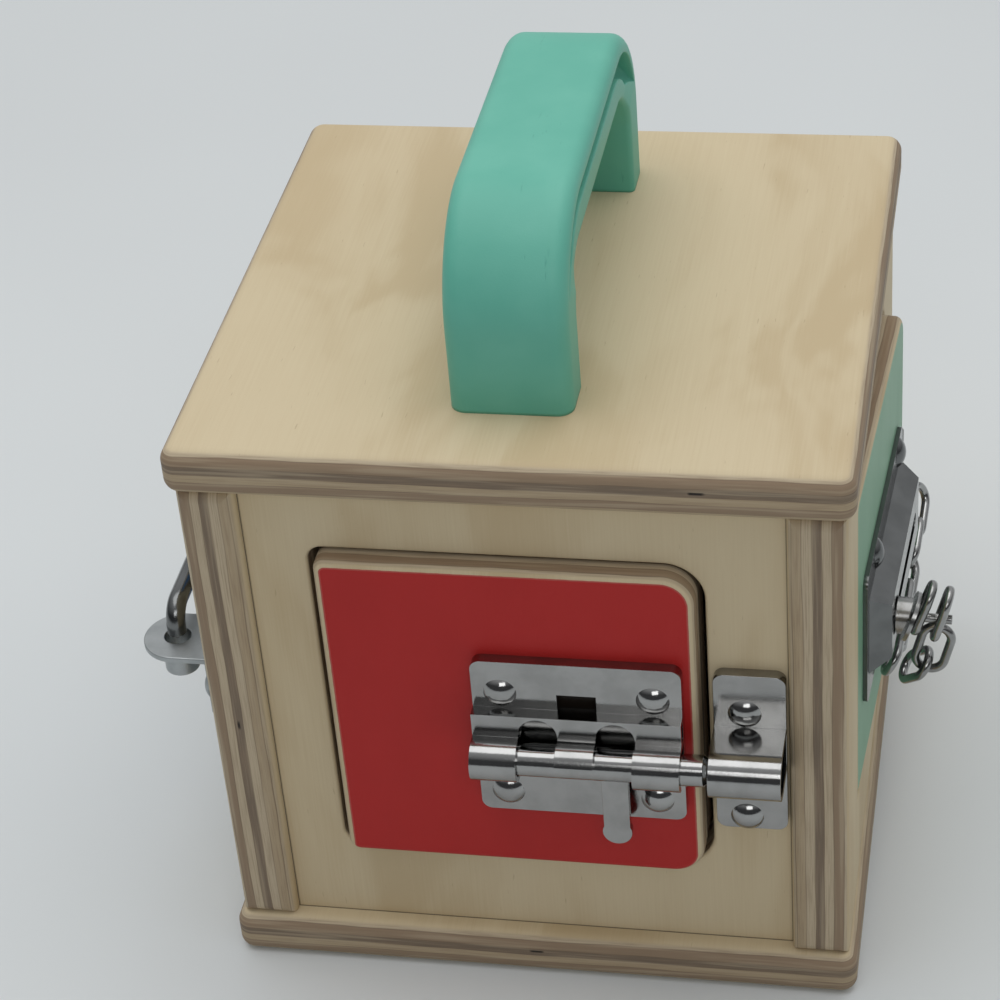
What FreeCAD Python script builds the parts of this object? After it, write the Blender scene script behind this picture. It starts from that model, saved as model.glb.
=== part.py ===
"""Wooden lock box: a plywood cube with a carrying handle and a small hardware-locked door in each side.

Millimetres. The origin is the centre of the underside, +X is to the right of the front, +Y is to the back
and +Z is up. Each side is built in its own frame, in which a viewer stands in front of it: x runs to the
viewer's right, y into the box and z up, with the axis of the box at x = 0 and y = 0. A quarter turn for
each side then puts it in its place.
"""

import FreeCAD
import Part

import math
import os

Vec = FreeCAD.Vector
RIGHT = Vec(1, 0, 0)
INWARD = Vec(0, 1, 0)
UP = Vec(0, 0, 1)

# Carcass: two side walls stand between the base and the lid, and hold the front and back panels.
wall_thickness = 14.0
wall_edge_round = 3.0
plate_overhang = 2.0
plate_thickness = 12.0
plate_corner_round = 4.0
plate_edge_round = 3.6
panel_thickness = 12.0
panel_recess = 4.0

# Dowels that pin the base and the lid to the side walls.
dowel_diameter = 6.0
dowel_in_plate = 8.0
dowel_in_wall = 16.0
dowel_from_end = 26.0

# Doors: four alike, hung on hidden pins at the viewer's left.
door_width = 90.0
door_height = 91.0
door_thickness = 14.0
door_proud = 0.5
door_edge_round = 2.0
door_hinge_corner = 3.0
door_free_corner = 8.0
ajar_angle = 3.4

# The doorway: its gaps round the door, and the wood left between it and the inside of the box.
hinge_gap = 2.0
free_gap = 1.8
rail_gap = 0.8
hinge_stile = 15.0
free_stile = 19.2
lower_rail = 24.2
upper_rail = 17.2
opening_edge_round = 0.8

# Hinge pins, pressed into the rails and running in bores of the door.
pin_diameter = 3.0
pin_running_fit = 0.05
pin_from_edge = 12.0
pin_from_face = 8.0
pin_in_door = 12.0
pin_in_rail = 12.0
pin_end_play = 0.3

# Carrying handle.
handle_width = 29.0
handle_inside_panels = 3.5
handle_rise = 49.0
handle_offset = -0.7
handle_leg = 14.0
handle_top = 17.4
handle_outer_radius = 28.0
handle_inner_radius = 13.0
handle_edge_round = 4.0
handle_inner_round = 1.5
groove_margin = 4.6
groove_width = 5.5
groove_depth = 6.0
groove_foot = 29.0
groove_taper = 7.0
flange_inset = 0.8
flange_radius = 21.0

# Screws: domed heads for the hardware, larger pan heads under the lid for the handle.
screw_head = 8.0
screw_dome = 1.9
screw_shank = 3.0
screw_bite = 9.0
screw_hole_clearance = 0.2
handle_screw_shank = 4.0
handle_screw_head = 8.0
handle_screw_head_height = 2.6
handle_screw_bite = 14.0
handle_screw_spread = 7.0
washer_diameter = 10.0
washer_thickness = 0.8

# Sheet metal of all the hardware. The plates of the bolt and the strike have a rim turned back to the wood.
sheet = 1.2
plate_round = 2.6
rim_height = 3.0

# Barrel bolt on the front door. Its heights are measured from the middle line of the bolt.
bolt_diameter = 7.7
bolt_above_door_foot = 40.8
bolt_standoff = 8.0
bolt_fit = 0.3
bolt_tail_inset = 0.7
bolt_to_strike = 0.5
bolt_chamfer = 0.9
guide_diameter = 10.9
guide_width = 11.2
bolt_plate_inset = 3.5
bolt_plate_width = 50.2
bolt_plate_drop = 20.5
bolt_plate_height = 45.9
shelf_rise = 11.8
shelf_reach = 6.4
window_width = 9.4
window_rise = 6.4
window_overcut = 0.6
clip_width = 9.2
clip_wall = 1.3
clip_wrap = 2.3
relief_width = 9.4
relief_height = 4.6
lug_width = 9.8
lug_height = 2.6
lug_reach = 3.2
bolt_screw_inset = 6.85
bolt_screw_low = 6.0
bolt_screw_high = 9.2
tab_to_guide = 1.7
tab_width = 6.4
tab_thickness = 2.2
tab_drop = 24.0
tab_foot_width = 7.2
tab_slot_play = 0.5

# Strike on the front panel, in line with the bolt.
strike_from_doorway = 1.4
strike_from_wall = 0.6
strike_drop = 25.8
strike_height = 47.4
strike_loop_diameter = 12.2
strike_screw_high = 11.4
strike_screw_low = 3.8
strike_screw_offset = -1.2

# Chain track on the right door.
track_inset = 11.0
track_length = 69.0
track_above_door_foot = 22.5
track_height = 39.0
channel_start_margin = 3.0
channel_end_margin = 5.0
channel_side_margin = 8.0
channel_rise = 6.5
channel_slope = 3.2
hollow_slope = 2.9
slot_width = 4.2
keyhole_inset = 10.0
slot_end_margin = 11.0
keyhole_diameter = 10.0
track_screw_start = 17.0
track_screw_end = 8.0
track_screw_margin = 3.8

# Chain: a button in the track, a washer on its post, and ten links that run back to the anchor.
button_head = 8.8
button_head_thickness = 1.5
button_neck = 3.4
button_boss = 9.4
button_gap = 0.5
button_boss_length = 2.2
button_post = 2.4
button_post_length = 20.5
ring_diameter = 13.0
ring_thickness = 1.0
ring_standoff = 10.4
ring_play = 0.45
link_wire = 2.3
link_length = 16.0
link_width = 9.6
link_tilt = 28.0
chain_lean = 19.0

# Anchor of the chain on the right wall.
anchor_from_doorway = 2.2
anchor_width = 18.0
anchor_drop = 21.0
anchor_height = 34.0
anchor_screw_inset = 5.6
staple_wire = 2.4
staple_span = 8.0
staple_rise = 4.6

# Cabin hook on the left door, and its eye plate on the left wall.
hook_wire = 4.8
hook_above_door_foot = 62.0
hook_standoff = 10.0
hook_reach = 60.0
hook_bend = 5.0
hook_clearance = 0.5
hook_tip_chamfer = 0.8
hook_eye_diameter = 11.0
hook_eye_thickness = 4.0
hook_pin_diameter = 4.8
hook_base_width = 20.0
hook_base_height = 34.0
hook_base_screw_inset = 5.0
hook_boss_diameter = 9.0
eye_sheet = 1.6
eye_from_doorway = 18.2
eye_drop = 8.0
eye_tongue_reach = 19.0
eye_tongue_width = 18.0
eye_leg_height = 17.0
eye_hole_diameter = 6.6
eye_collar_wall = 1.0
eye_collar_height = 8.0
eye_screw_spread = 5.0
eye_screw_drop = 10.5

# Turn button on the back panel, level with the middle of the door.
turn_from_doorway = 10.7
turn_plate_width = 12.0
turn_plate_height = 40.0
turn_screw_spread = 14.5
turn_post_diameter = 5.0
turn_shoulder_diameter = 8.0
turn_cap_diameter = 7.6
turn_bar_length = 34.0
turn_bar_width = 9.0
turn_bar_thickness = 2.4
turn_grip_width = 7.2
turn_grip_height = 6.0
turn_grip_thickness = 3.0
turn_running_gap = 0.3
turn_fit = 0.05

# The carcass, worked out from the door, the gaps round it and the wood beside it.
panel_width = hinge_stile + hinge_gap + door_width + free_gap + free_stile
carcass_width = panel_width + 2 * wall_thickness
carcass_depth = carcass_width
plate_size = carcass_width + 2 * plate_overhang
wall_height = lower_rail + rail_gap + door_height + rail_gap + upper_rail
wall_bottom = plate_thickness
wall_top = wall_bottom + wall_height
overall_top = wall_top + plate_thickness
wall_face = -carcass_width / 2
panel_face = -carcass_depth / 2 + panel_recess
door_face = wall_face - door_proud
door_left = hinge_stile + hinge_gap - panel_width / 2
door_right = door_left + door_width
door_bottom = wall_bottom + lower_rail + rail_gap
door_top = door_bottom + door_height
doorway_right = door_right + free_gap
handle_half_length = -panel_face - panel_thickness - handle_inside_panels
pivot_x = door_left + pin_from_edge
pivot_y = door_face + pin_from_face

# The places of the hardware, worked out from the edges of the door and the doorway.
bolt_height = door_bottom + bolt_above_door_foot
bolt_axis_y = door_face - bolt_standoff
bolt_plate_right = door_right - bolt_plate_inset
bolt_plate_left = bolt_plate_right - bolt_plate_width
bolt_plate_bottom = bolt_height - bolt_plate_drop
shelf_height = bolt_height + shelf_rise
strike_left = doorway_right + strike_from_doorway
strike_width = free_stile - strike_from_doorway - strike_from_wall
strike_bottom = bolt_height - strike_drop
bolt_tail = bolt_plate_left + bolt_tail_inset
bolt_tip = strike_left - bolt_to_strike
tab_middle = bolt_plate_right - guide_width - tab_to_guide - tab_width / 2
track_right = door_right - track_inset
track_left = track_right - track_length
track_bottom = door_bottom + track_above_door_foot
track_top = track_bottom + track_height
button_x = track_left + channel_start_margin + keyhole_inset
button_height = track_bottom + track_height / 2
slot_end_x = track_right - channel_end_margin - slot_end_margin
anchor_left = doorway_right + anchor_from_doorway
anchor_bottom = button_height - anchor_drop
hook_height = door_bottom + hook_above_door_foot
eye_middle = doorway_right + eye_from_doorway
hook_pivot = eye_middle - hook_reach
eye_tongue_top = hook_height - eye_drop
turn_centre = doorway_right + turn_from_doorway
turn_height = (door_bottom + door_top) / 2

SIDES = ("front", "right", "back", "left")


def box(x0, x1, y0, y1, z0, z1):
    return Part.makeBox(x1 - x0, y1 - y0, z1 - z0, Vec(x0, y0, z0))


def rod(radius, start, end):
    axis = end - start
    return Part.makeCylinder(radius, axis.Length, start, axis)


def arc(a, b, c):
    return Part.Arc(a, b, c).toShape()


def line(a, b):
    return Part.makeLine(a, b)


def slab(x0, x1, z0, z1, y0, y1, left_round, right_round):
    """A plate parallel to a side, with rounded corners at its left and at its right."""
    diagonal = math.sqrt(0.5)

    def corner(cx, cz, sx, sz, radius):
        middle = Vec(cx + sx * radius * diagonal, y0, cz + sz * radius * diagonal)
        beside = Vec(cx + sx * radius, y0, cz)
        above = Vec(cx, y0, cz + sz * radius)
        return beside, middle, above

    lower_right = corner(x1 - right_round, z0 + right_round, 1, -1, right_round)
    upper_right = corner(x1 - right_round, z1 - right_round, 1, 1, right_round)
    upper_left = corner(x0 + left_round, z1 - left_round, -1, 1, left_round)
    lower_left = corner(x0 + left_round, z0 + left_round, -1, -1, left_round)
    edges = [
        line(lower_left[2], lower_right[2]),
        arc(lower_right[2], lower_right[1], lower_right[0]),
        line(lower_right[0], upper_right[0]),
        arc(upper_right[0], upper_right[1], upper_right[2]),
        line(upper_right[2], upper_left[2]),
        arc(upper_left[2], upper_left[1], upper_left[0]),
        line(upper_left[0], lower_left[0]),
        arc(lower_left[0], lower_left[1], lower_left[2]),
    ]
    return Part.Face(Part.Wire(edges)).extrude(Vec(0, y1 - y0, 0))


def round_edges(shape, radius, chosen):
    """Round the edges of a shape that the test picks."""
    edges = [edge for edge in shape.Edges if chosen(edge)]
    return shape.makeFillet(radius, edges)


def at_depth(edge, y):
    bounds = edge.BoundBox
    return abs(bounds.YMin - y) < 1e-4 and abs(bounds.YMax - y) < 1e-4


def cut_all(shape, tools):
    for tool in tools:
        shape = shape.cut(tool)
    return shape


def holes(points, radius, y0, y1):
    return [rod(radius, Vec(x, y0, z), Vec(x, y1, z)) for x, z in points]


def turned(face, base, axis, angle):
    """A face turned about an axis, as a solid that is the right way out."""
    solid = face.revolve(base, axis, angle)
    if solid.Volume < 0:
        solid.reverse()
    return solid


def screws(points, seat_y, bite):
    """Domed screws, driven inwards from the face that their heads sit on."""
    head = screw_head / 2
    ball_radius = (head**2 + screw_dome**2) / (2 * screw_dome)
    ball = Part.makeSphere(ball_radius, Vec(0, ball_radius - screw_dome, 0))
    dome = ball.common(box(-screw_head, screw_head, -screw_dome, 0, -screw_head, screw_head))
    screw = dome.fuse(rod(screw_shank / 2, Vec(0, 0, 0), Vec(0, bite, 0))).removeSplitter()
    made = []
    for x, z in points:
        one = screw.copy()
        one.translate(Vec(x, seat_y, z))
        made.append(one)
    return Part.makeCompound(made)


def on_side(shape, side):
    """Turn a shape from the frame of a side into the frame of the box."""
    placed = shape.copy()
    placed.rotate(Vec(0, 0, 0), UP, SIDES.index(side) * 360 / len(SIDES))
    return placed


def ajar(shape):
    """Swing a shape that rides on a door outwards by the angle that the right door stands open."""
    swung = shape.copy()
    swung.rotate(Vec(pivot_x, pivot_y, 0), UP, -ajar_angle)
    return swung


def save(shape, name):
    shape.exportStep("parts/" + name + ".step")


def dowel_places(sign):
    x = sign * (carcass_width / 2 - wall_thickness / 2)
    end_y = carcass_depth / 2 - dowel_from_end
    return [(x, y) for y in (-end_y, 0.0, end_y)]


def dowel(x, y, z_start, z_end):
    return rod(dowel_diameter / 2, Vec(x, y, z_start), Vec(x, y, z_end))


def base_dowels():
    made = []
    for sign in (-1, 1):
        for x, y in dowel_places(sign):
            made.append(dowel(x, y, wall_bottom - dowel_in_plate, wall_bottom + dowel_in_wall))
    return made


def lid_dowels():
    made = []
    for sign in (-1, 1):
        for x, y in dowel_places(sign):
            made.append(dowel(x, y, wall_top - dowel_in_wall, wall_top + dowel_in_plate))
    return made


def rounded_plate(z0):
    """A square plywood plate with rounded corners and fully eased edges."""
    half = plate_size / 2
    plate = box(-half, half, -half, half, z0, z0 + plate_thickness)
    plate = round_edges(plate, plate_corner_round, lambda e: e.BoundBox.ZLength > plate_thickness / 2)
    return round_edges(plate, plate_edge_round, lambda e: e.BoundBox.ZLength < 1e-4)


def pin_holes(radius, reach_in_door, reach_in_rail):
    """The upper and the lower hinge pin, or the bores for them."""
    lower = rod(
        radius,
        Vec(pivot_x, pivot_y, door_bottom - rail_gap - reach_in_rail),
        Vec(pivot_x, pivot_y, door_bottom + reach_in_door),
    )
    upper = rod(
        radius,
        Vec(pivot_x, pivot_y, door_top - reach_in_door),
        Vec(pivot_x, pivot_y, door_top + rail_gap + reach_in_rail),
    )
    return [lower, upper]


def opening(y0, y1):
    """The doorway, which is larger than the door by the gap at each edge."""
    return slab(
        door_left - hinge_gap,
        door_right + free_gap,
        door_bottom - rail_gap,
        door_top + rail_gap,
        y0,
        y1,
        door_hinge_corner + rail_gap,
        door_free_corner + free_gap,
    )


def side_board(x0, x1, y0, y1, edge_round, screw_points, seat):
    """A board with its doorway, its pin bores, and pilot holes for screws whose heads stand off by the seat."""
    board = box(x0, x1, y0, y1, wall_bottom, wall_top)
    if edge_round:
        board = round_edges(board, edge_round, lambda e: e.BoundBox.YLength > 1 or e.BoundBox.ZLength > 1)
    board = board.cut(opening(y0 - 1, y1 + 1))

    def doorway_edge(edge):
        centre = edge.BoundBox.Center
        across = door_left - 2 * hinge_gap < centre.x < door_right + 2 * free_gap
        upright = door_bottom - 2 * rail_gap < centre.z < door_top + 2 * rail_gap
        return across and upright and at_depth(edge, y0)

    board = round_edges(board, opening_edge_round, doorway_edge)
    board = cut_all(board, pin_holes(pin_diameter / 2, 0.0, pin_in_rail))
    return cut_all(board, holes(screw_points, screw_shank / 2, y0 - 1, y0 + screw_bite - seat))


def door(screw_points, seat):
    """A door panel with eased front edges, bores for its two pins and pilot holes for its screws."""
    panel = slab(
        door_left,
        door_right,
        door_bottom,
        door_top,
        door_face,
        door_face + door_thickness,
        door_hinge_corner,
        door_free_corner,
    )
    panel = round_edges(panel, door_edge_round, lambda e: at_depth(e, door_face))
    bores = pin_holes(pin_diameter / 2 + pin_running_fit, pin_in_door + pin_end_play, pin_in_rail)
    panel = cut_all(panel, bores)
    return cut_all(panel, holes(screw_points, screw_shank / 2, door_face - 1, door_face + screw_bite - seat))


def rimmed_plate(x0, x1, z0, z1, seat_y):
    """A pressed plate that stands off its seat on a rim along all four edges."""
    front_y = seat_y - rim_height
    plate = slab(x0, x1, z0, z1, front_y, seat_y, plate_round, plate_round)
    inner_round = plate_round - sheet
    back_y = front_y + sheet
    x0, x1, z0, z1 = x0 + sheet, x1 - sheet, z0 + sheet, z1 - sheet
    return plate.cut(slab(x0, x1, z0, z1, back_y, seat_y + 1, inner_round, inner_round))


def grid(xs, zs):
    return [(x, z) for x in xs for z in zs]


bolt_screws = grid(
    (bolt_plate_left + bolt_screw_inset, bolt_plate_right - bolt_screw_inset),
    (bolt_plate_bottom + bolt_screw_low, bolt_plate_bottom + bolt_plate_height - bolt_screw_high),
)
strike_middle = strike_left + strike_width / 2
strike_screws = grid(
    (strike_middle + strike_screw_offset,),
    (strike_bottom + strike_screw_low, strike_bottom + strike_height - strike_screw_high),
)
track_screws = grid(
    (track_left + track_screw_start, track_right - track_screw_end),
    (track_bottom + track_screw_margin, track_top - track_screw_margin),
)
anchor_middle = anchor_left + anchor_width / 2
anchor_screws = grid(
    (anchor_middle,),
    (anchor_bottom + anchor_screw_inset, anchor_bottom + anchor_height - anchor_screw_inset),
)
eye_screws = grid(
    (eye_middle - eye_screw_spread, eye_middle + eye_screw_spread),
    (eye_tongue_top - eye_screw_drop,),
)
hook_screw_spread = hook_base_height / 2 - hook_base_screw_inset
hook_base_screws = grid((hook_pivot,), (hook_height - hook_screw_spread, hook_height + hook_screw_spread))
turn_screws = grid((turn_centre,), (turn_height - turn_screw_spread, turn_height + turn_screw_spread))


def handle_profile(half, height, radius, foot):
    """The outline of an arch in the YZ plane, from one foot over the top to the other."""
    diagonal = math.sqrt(0.5)
    z0 = overall_top + foot
    z1 = overall_top + height
    near_centre = Vec(0, -half + radius, z1 - radius)
    far_centre = Vec(0, half - radius, z1 - radius)
    near_start = Vec(0, -half, z1 - radius)
    near_end = Vec(0, -half + radius, z1)
    far_start = Vec(0, half - radius, z1)
    far_end = Vec(0, half, z1 - radius)
    near_middle = near_centre + Vec(0, -radius * diagonal, radius * diagonal)
    far_middle = far_centre + Vec(0, radius * diagonal, radius * diagonal)
    return [
        line(Vec(0, -half, z0), near_start),
        arc(near_start, near_middle, near_end),
        line(near_end, far_start),
        arc(far_start, far_middle, far_end),
        line(far_end, Vec(0, half, z0)),
    ]


def arch_solid(half, height, radius, foot, x0, x1):
    edges = handle_profile(half, height, radius, foot)
    edges.append(line(Vec(0, half, overall_top + foot), Vec(0, -half, overall_top + foot)))
    solid = Part.Face(Part.Wire(edges)).extrude(Vec(x1 - x0, 0, 0))
    solid.translate(Vec(x0, 0, 0))
    return solid


def make_handle():
    """A moulded arch: a thin outer shell over an inner flange, with a groove between them on each side."""
    half = handle_half_length
    x0 = handle_offset - handle_width / 2
    x1 = handle_offset + handle_width / 2
    body = arch_solid(half, handle_rise, handle_outer_radius, 0, x0, x1)
    inner_half = half - handle_leg
    inner_rise = handle_rise - handle_top
    hand_space = arch_solid(inner_half, inner_rise, handle_inner_radius, 0, x0 - 1, x1 + 1)
    outer_sides = [
        e
        for e in body.Edges
        if e.BoundBox.XLength < 1e-4 and e.BoundBox.ZMax > overall_top + 1
    ]
    body = body.makeFillet(handle_edge_round, outer_sides)
    body = body.cut(hand_space)

    def flange_edge(edge):
        bounds = edge.BoundBox
        across = bounds.XLength < 1e-4 and abs(bounds.Center.y) < inner_half + 0.01
        return across and bounds.ZMax > overall_top + 1 and bounds.ZMax < overall_top + inner_rise + 0.01

    body = round_edges(body, handle_inner_round, flange_edge)
    shell_half = half - groove_margin
    shell_rise = handle_rise - groove_margin
    shell_radius = handle_outer_radius - groove_margin
    root_half = shell_half - groove_width
    root_rise = shell_rise - groove_width
    foot_z = overall_top + groove_foot
    top_z = overall_top + handle_rise
    outline = [
        Vec(0, -shell_half - 1, foot_z),
        Vec(0, -root_half, foot_z + groove_taper),
        Vec(0, root_half, foot_z + groove_taper),
        Vec(0, shell_half + 1, foot_z),
        Vec(0, shell_half + 1, top_z),
        Vec(0, -shell_half - 1, top_z),
    ]
    above_legs = Part.Face(Part.makePolygon(outline + outline[:1])).extrude(Vec(handle_width + 4, 0, 0))
    above_legs.translate(Vec(x0 - 2, 0, 0))
    for side_x, sign in ((x0, 1), (x1, -1)):
        near, far = sorted((side_x - sign, side_x + sign * groove_depth))
        groove = arch_solid(shell_half, shell_rise, shell_radius, 0, near, far)
        groove = groove.cut(arch_solid(root_half, root_rise, flange_radius, 0, near - 1, far + 1))
        near, far = sorted((side_x - sign, side_x + sign * flange_inset))
        inset = arch_solid(shell_half, shell_rise, shell_radius, 0, near, far)
        body = body.cut(groove.common(above_legs)).cut(inset.common(above_legs))
    return body


def handle_screw_places():
    y = handle_half_length - handle_leg / 2
    xs = (handle_offset - handle_screw_spread, handle_offset + handle_screw_spread)
    return [(x, sign * y) for x in xs for sign in (-1, 1)]


def handle_screw(x, y):
    seat = wall_top - washer_thickness
    shank = rod(handle_screw_shank / 2, Vec(x, y, seat), Vec(x, y, overall_top + handle_screw_bite))
    head = rod(handle_screw_head / 2, Vec(x, y, seat - handle_screw_head_height), Vec(x, y, seat))
    return shank.fuse(head).removeSplitter()


def handle_washer(x, y):
    start = Vec(x, y, wall_top - washer_thickness)
    end = Vec(x, y, wall_top)
    washer = rod(washer_diameter / 2, start, end)
    return washer.cut(rod(handle_screw_shank / 2 + screw_hole_clearance, start - UP, end + UP))


def saddle(centre_x, width, root_y, outer, inner):
    """A stamped loop over the bolt: half a tube, with straight sides back to its plate."""
    x0 = centre_x - width / 2
    x1 = centre_x + width / 2
    solid = rod(outer, Vec(x0, bolt_axis_y, bolt_height), Vec(x1, bolt_axis_y, bolt_height))
    solid = solid.fuse(box(x0, x1, bolt_axis_y, root_y, bolt_height - outer, bolt_height + outer))
    start = Vec(x0 - 1, bolt_axis_y, bolt_height)
    bore = rod(inner, start, Vec(x1 + 1, bolt_axis_y, bolt_height))
    hollow = box(x0 - 1, x1 + 1, bolt_axis_y, root_y, bolt_height - inner, bolt_height + inner)
    return solid.cut(bore.fuse(hollow))


def make_bolt_plate():
    """The stamped carrier of the barrel bolt: plate, shelf, arched windows, two guides and a clip."""
    x0 = bolt_plate_left
    x1 = bolt_plate_right
    plate_y = door_face - rim_height
    plate = rimmed_plate(x0, x1, bolt_plate_bottom, bolt_plate_bottom + bolt_plate_height, door_face)
    front_y = door_face - shelf_reach
    outer = guide_diameter / 2
    inner = bolt_diameter / 2 + bolt_fit
    left_guide = x0 + guide_width / 2
    right_guide = x1 - guide_width / 2
    middle = (left_guide + right_guide) / 2
    shelf = box(x0, x1, front_y, plate_y, shelf_height - sheet, shelf_height)
    brow = box(x0, x1, front_y, front_y + sheet, bolt_height + inner, shelf_height)
    carrier = plate.fuse(shelf).fuse(brow)
    for centre in (left_guide, right_guide):
        carrier = carrier.fuse(saddle(centre, guide_width, plate_y, outer, inner))
    start = Vec(middle - clip_width / 2, bolt_axis_y, bolt_height)
    end = Vec(middle + clip_width / 2, bolt_axis_y, bolt_height)
    clip = rod(inner + clip_wall, start, end).cut(rod(inner, start - RIGHT, end + RIGHT))
    clip_foot = bolt_height + clip_wrap
    upper_half = box(start.x - 1, end.x + 1, bolt_axis_y - outer, front_y + sheet, clip_foot, shelf_height)
    carrier = carrier.fuse(clip.common(upper_half))
    lug_top = bolt_height - bolt_diameter / 2 - 2 * bolt_fit
    half = lug_width / 2
    lug = box(middle - half, middle + half, plate_y - lug_reach, plate_y, lug_top - lug_height, lug_top)
    carrier = carrier.fuse(lug)
    window_offset = (clip_width + window_width) / 2
    window_half = window_width / 2
    window_head = bolt_height + window_rise
    window_front = front_y - 1
    window_back = front_y + sheet + window_overcut
    for sign in (-1, 1):
        x = middle + sign * window_offset
        arch = rod(window_half, Vec(x, window_front, window_head), Vec(x, window_back, window_head))
        below = box(x - window_half, x + window_half, window_front, window_back, bolt_height, window_head)
        carrier = carrier.cut(arch.fuse(below))
    half = relief_width / 2
    relief_top = shelf_height + relief_height
    relief = box(middle - half, middle + half, plate_y - 1, door_face + 1, shelf_height, relief_top)
    half = tab_thickness / 2 + tab_slot_play
    foot = bolt_height - outer - 1
    slot = box(x1 - guide_width, x1 + 1, bolt_axis_y - half, bolt_axis_y + half, foot, bolt_height)
    carrier = carrier.cut(relief).cut(slot)
    clearance = screw_shank / 2 + screw_hole_clearance
    return cut_all(carrier, holes(bolt_screws, clearance, plate_y - 1, door_face + 1)).removeSplitter()


def make_sliding_bolt():
    """The round bolt and the flat tab that hangs from it."""
    radius = bolt_diameter / 2
    shaft = rod(radius, Vec(bolt_tail, bolt_axis_y, bolt_height), Vec(bolt_tip, bolt_axis_y, bolt_height))
    shaft = shaft.makeChamfer(bolt_chamfer, [e for e in shaft.Edges if e.BoundBox.XLength < 1e-4])
    y0 = bolt_axis_y - tab_thickness / 2
    y1 = bolt_axis_y + tab_thickness / 2
    tab_bottom = bolt_height - tab_drop
    foot = tab_foot_width / 2
    half = tab_width / 2
    tab = box(tab_middle - half, tab_middle + half, y0, y1, tab_bottom + foot, bolt_height)
    toe = rod(foot, Vec(tab_middle, y0, tab_bottom + foot), Vec(tab_middle, y1, tab_bottom + foot))
    return shaft.fuse(tab).fuse(toe).removeSplitter()


def make_strike():
    """The keeper on the front panel: a plate with a deeper loop in line with the bolt."""
    plate_y = panel_face - rim_height
    strike_right = strike_left + strike_width
    plate = rimmed_plate(strike_left, strike_right, strike_bottom, strike_bottom + strike_height, panel_face)
    outer = strike_loop_diameter / 2
    keeper = plate.fuse(saddle(strike_middle, strike_width, plate_y, outer, outer - sheet))
    clearance = screw_shank / 2 + screw_hole_clearance
    return cut_all(keeper, holes(strike_screws, clearance, plate_y - 1, panel_face + 1)).removeSplitter()


def channel(x0, x1, z0, z1, foot_y, top_y, slope):
    """A raised channel whose four flanks lean inwards to its top."""

    def ring(y, inset):
        corners = [
            Vec(x0 + inset, y, z0 + inset),
            Vec(x1 - inset, y, z0 + inset),
            Vec(x1 - inset, y, z1 - inset),
            Vec(x0 + inset, y, z1 - inset),
        ]
        return Part.makePolygon(corners + corners[:1])

    return Part.makeLoft([ring(foot_y, 0.0), ring(top_y, slope)], True, True)


def make_chain_track():
    """The track of the chain: a plate pressed up into a hollow channel with a keyhole and a slot."""
    plate_y = door_face - sheet
    x0 = track_left
    x1 = track_right
    z0 = track_bottom
    z1 = track_top
    plate = slab(x0, x1, z0, z1, plate_y, door_face, plate_round, plate_round)
    x0 += channel_start_margin
    x1 -= channel_end_margin
    z0 += channel_side_margin
    z1 -= channel_side_margin
    top_y = door_face - channel_rise
    raised = channel(x0, x1, z0, z1, plate_y, top_y, channel_slope)
    floor_y = top_y + sheet
    hollow = channel(x0 + sheet, x1 - sheet, z0 + sheet, z1 - sheet, door_face, floor_y, hollow_slope)
    y0 = top_y - 1
    y1 = floor_y + 1
    z = button_height
    half = slot_width / 2
    slot = box(button_x, slot_end_x, y0, y1, z - half, z + half)
    slot_end = rod(half, Vec(slot_end_x, y0, z), Vec(slot_end_x, y1, z))
    keyhole = rod(keyhole_diameter / 2, Vec(button_x, y0, z), Vec(button_x, y1, z))
    track = plate.fuse(raised).cut(hollow).cut(slot).cut(slot_end).cut(keyhole)
    clearance = screw_shank / 2 + screw_hole_clearance
    return cut_all(track, holes(track_screws, clearance, plate_y - 1, door_face + 1)).removeSplitter()


def make_chain_button():
    """The stud at the end of the chain: a head inside the track, a neck, a boss and a post."""
    x = button_x
    z = button_height
    top_y = door_face - channel_rise
    under = top_y + sheet + button_gap
    head = rod(button_head / 2, Vec(x, under, z), Vec(x, under + button_head_thickness, z))
    boss_y = top_y - button_gap
    neck = rod(button_neck / 2, Vec(x, boss_y, z), Vec(x, under, z))
    tilt = math.tan(math.radians(chain_lean))
    boss = rod(button_boss / 2, Vec(x, boss_y - 3 * button_boss_length, z), Vec(x, boss_y, z))
    face = boss_y - button_boss_length
    radius = button_boss
    wedge = Part.Face(
        Part.makePolygon(
            [
                Vec(x - radius, face - tilt * radius, z + radius),
                Vec(x - radius, face + tilt * radius, z - radius),
                Vec(x - radius, face - 4 * radius, z - radius),
                Vec(x - radius, face - 4 * radius, z + radius),
                Vec(x - radius, face - tilt * radius, z + radius),
            ]
        )
    ).extrude(Vec(2 * radius, 0, 0))
    post = rod(button_post / 2, Vec(x, door_face - button_post_length, z), Vec(x, boss_y, z))
    return head.fuse(neck).fuse(boss.cut(wedge)).fuse(post).removeSplitter()


def make_chain_ring():
    """The washer on the post of the button, leaning with the slack links."""
    centre = Vec(button_x, door_face - ring_standoff, button_height)
    lean = math.radians(chain_lean)
    normal = Vec(0, -math.cos(lean), -math.sin(lean))
    start = centre - normal * (ring_thickness / 2)
    washer = Part.makeCylinder(ring_diameter / 2, ring_thickness, start, normal)
    bore_radius = button_post / 2 + ring_play
    bore = Part.makeCylinder(bore_radius, ring_thickness * 3, start - normal * ring_thickness, normal)
    return washer.cut(bore)


# The two ends of the middle line of each slack link: how far right of the button, out from the door, and up
# from the button. The first two sit on the post of the button, the third hangs from the second and the fourth
# turns towards the anchor.
slack_links = [
    ((0.0, 11.7, -2.1), (0.0, 15.1, 8.1)),
    ((0.0, 16.6, -3.6), (0.0, 19.4, 6.8)),
    ((0.0, 17.3, -4.1), (0.0, 14.7, -14.5)),
    ((-0.2, 14.1, -14.1), (5.8, 8.8, -21.2)),
]

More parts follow.
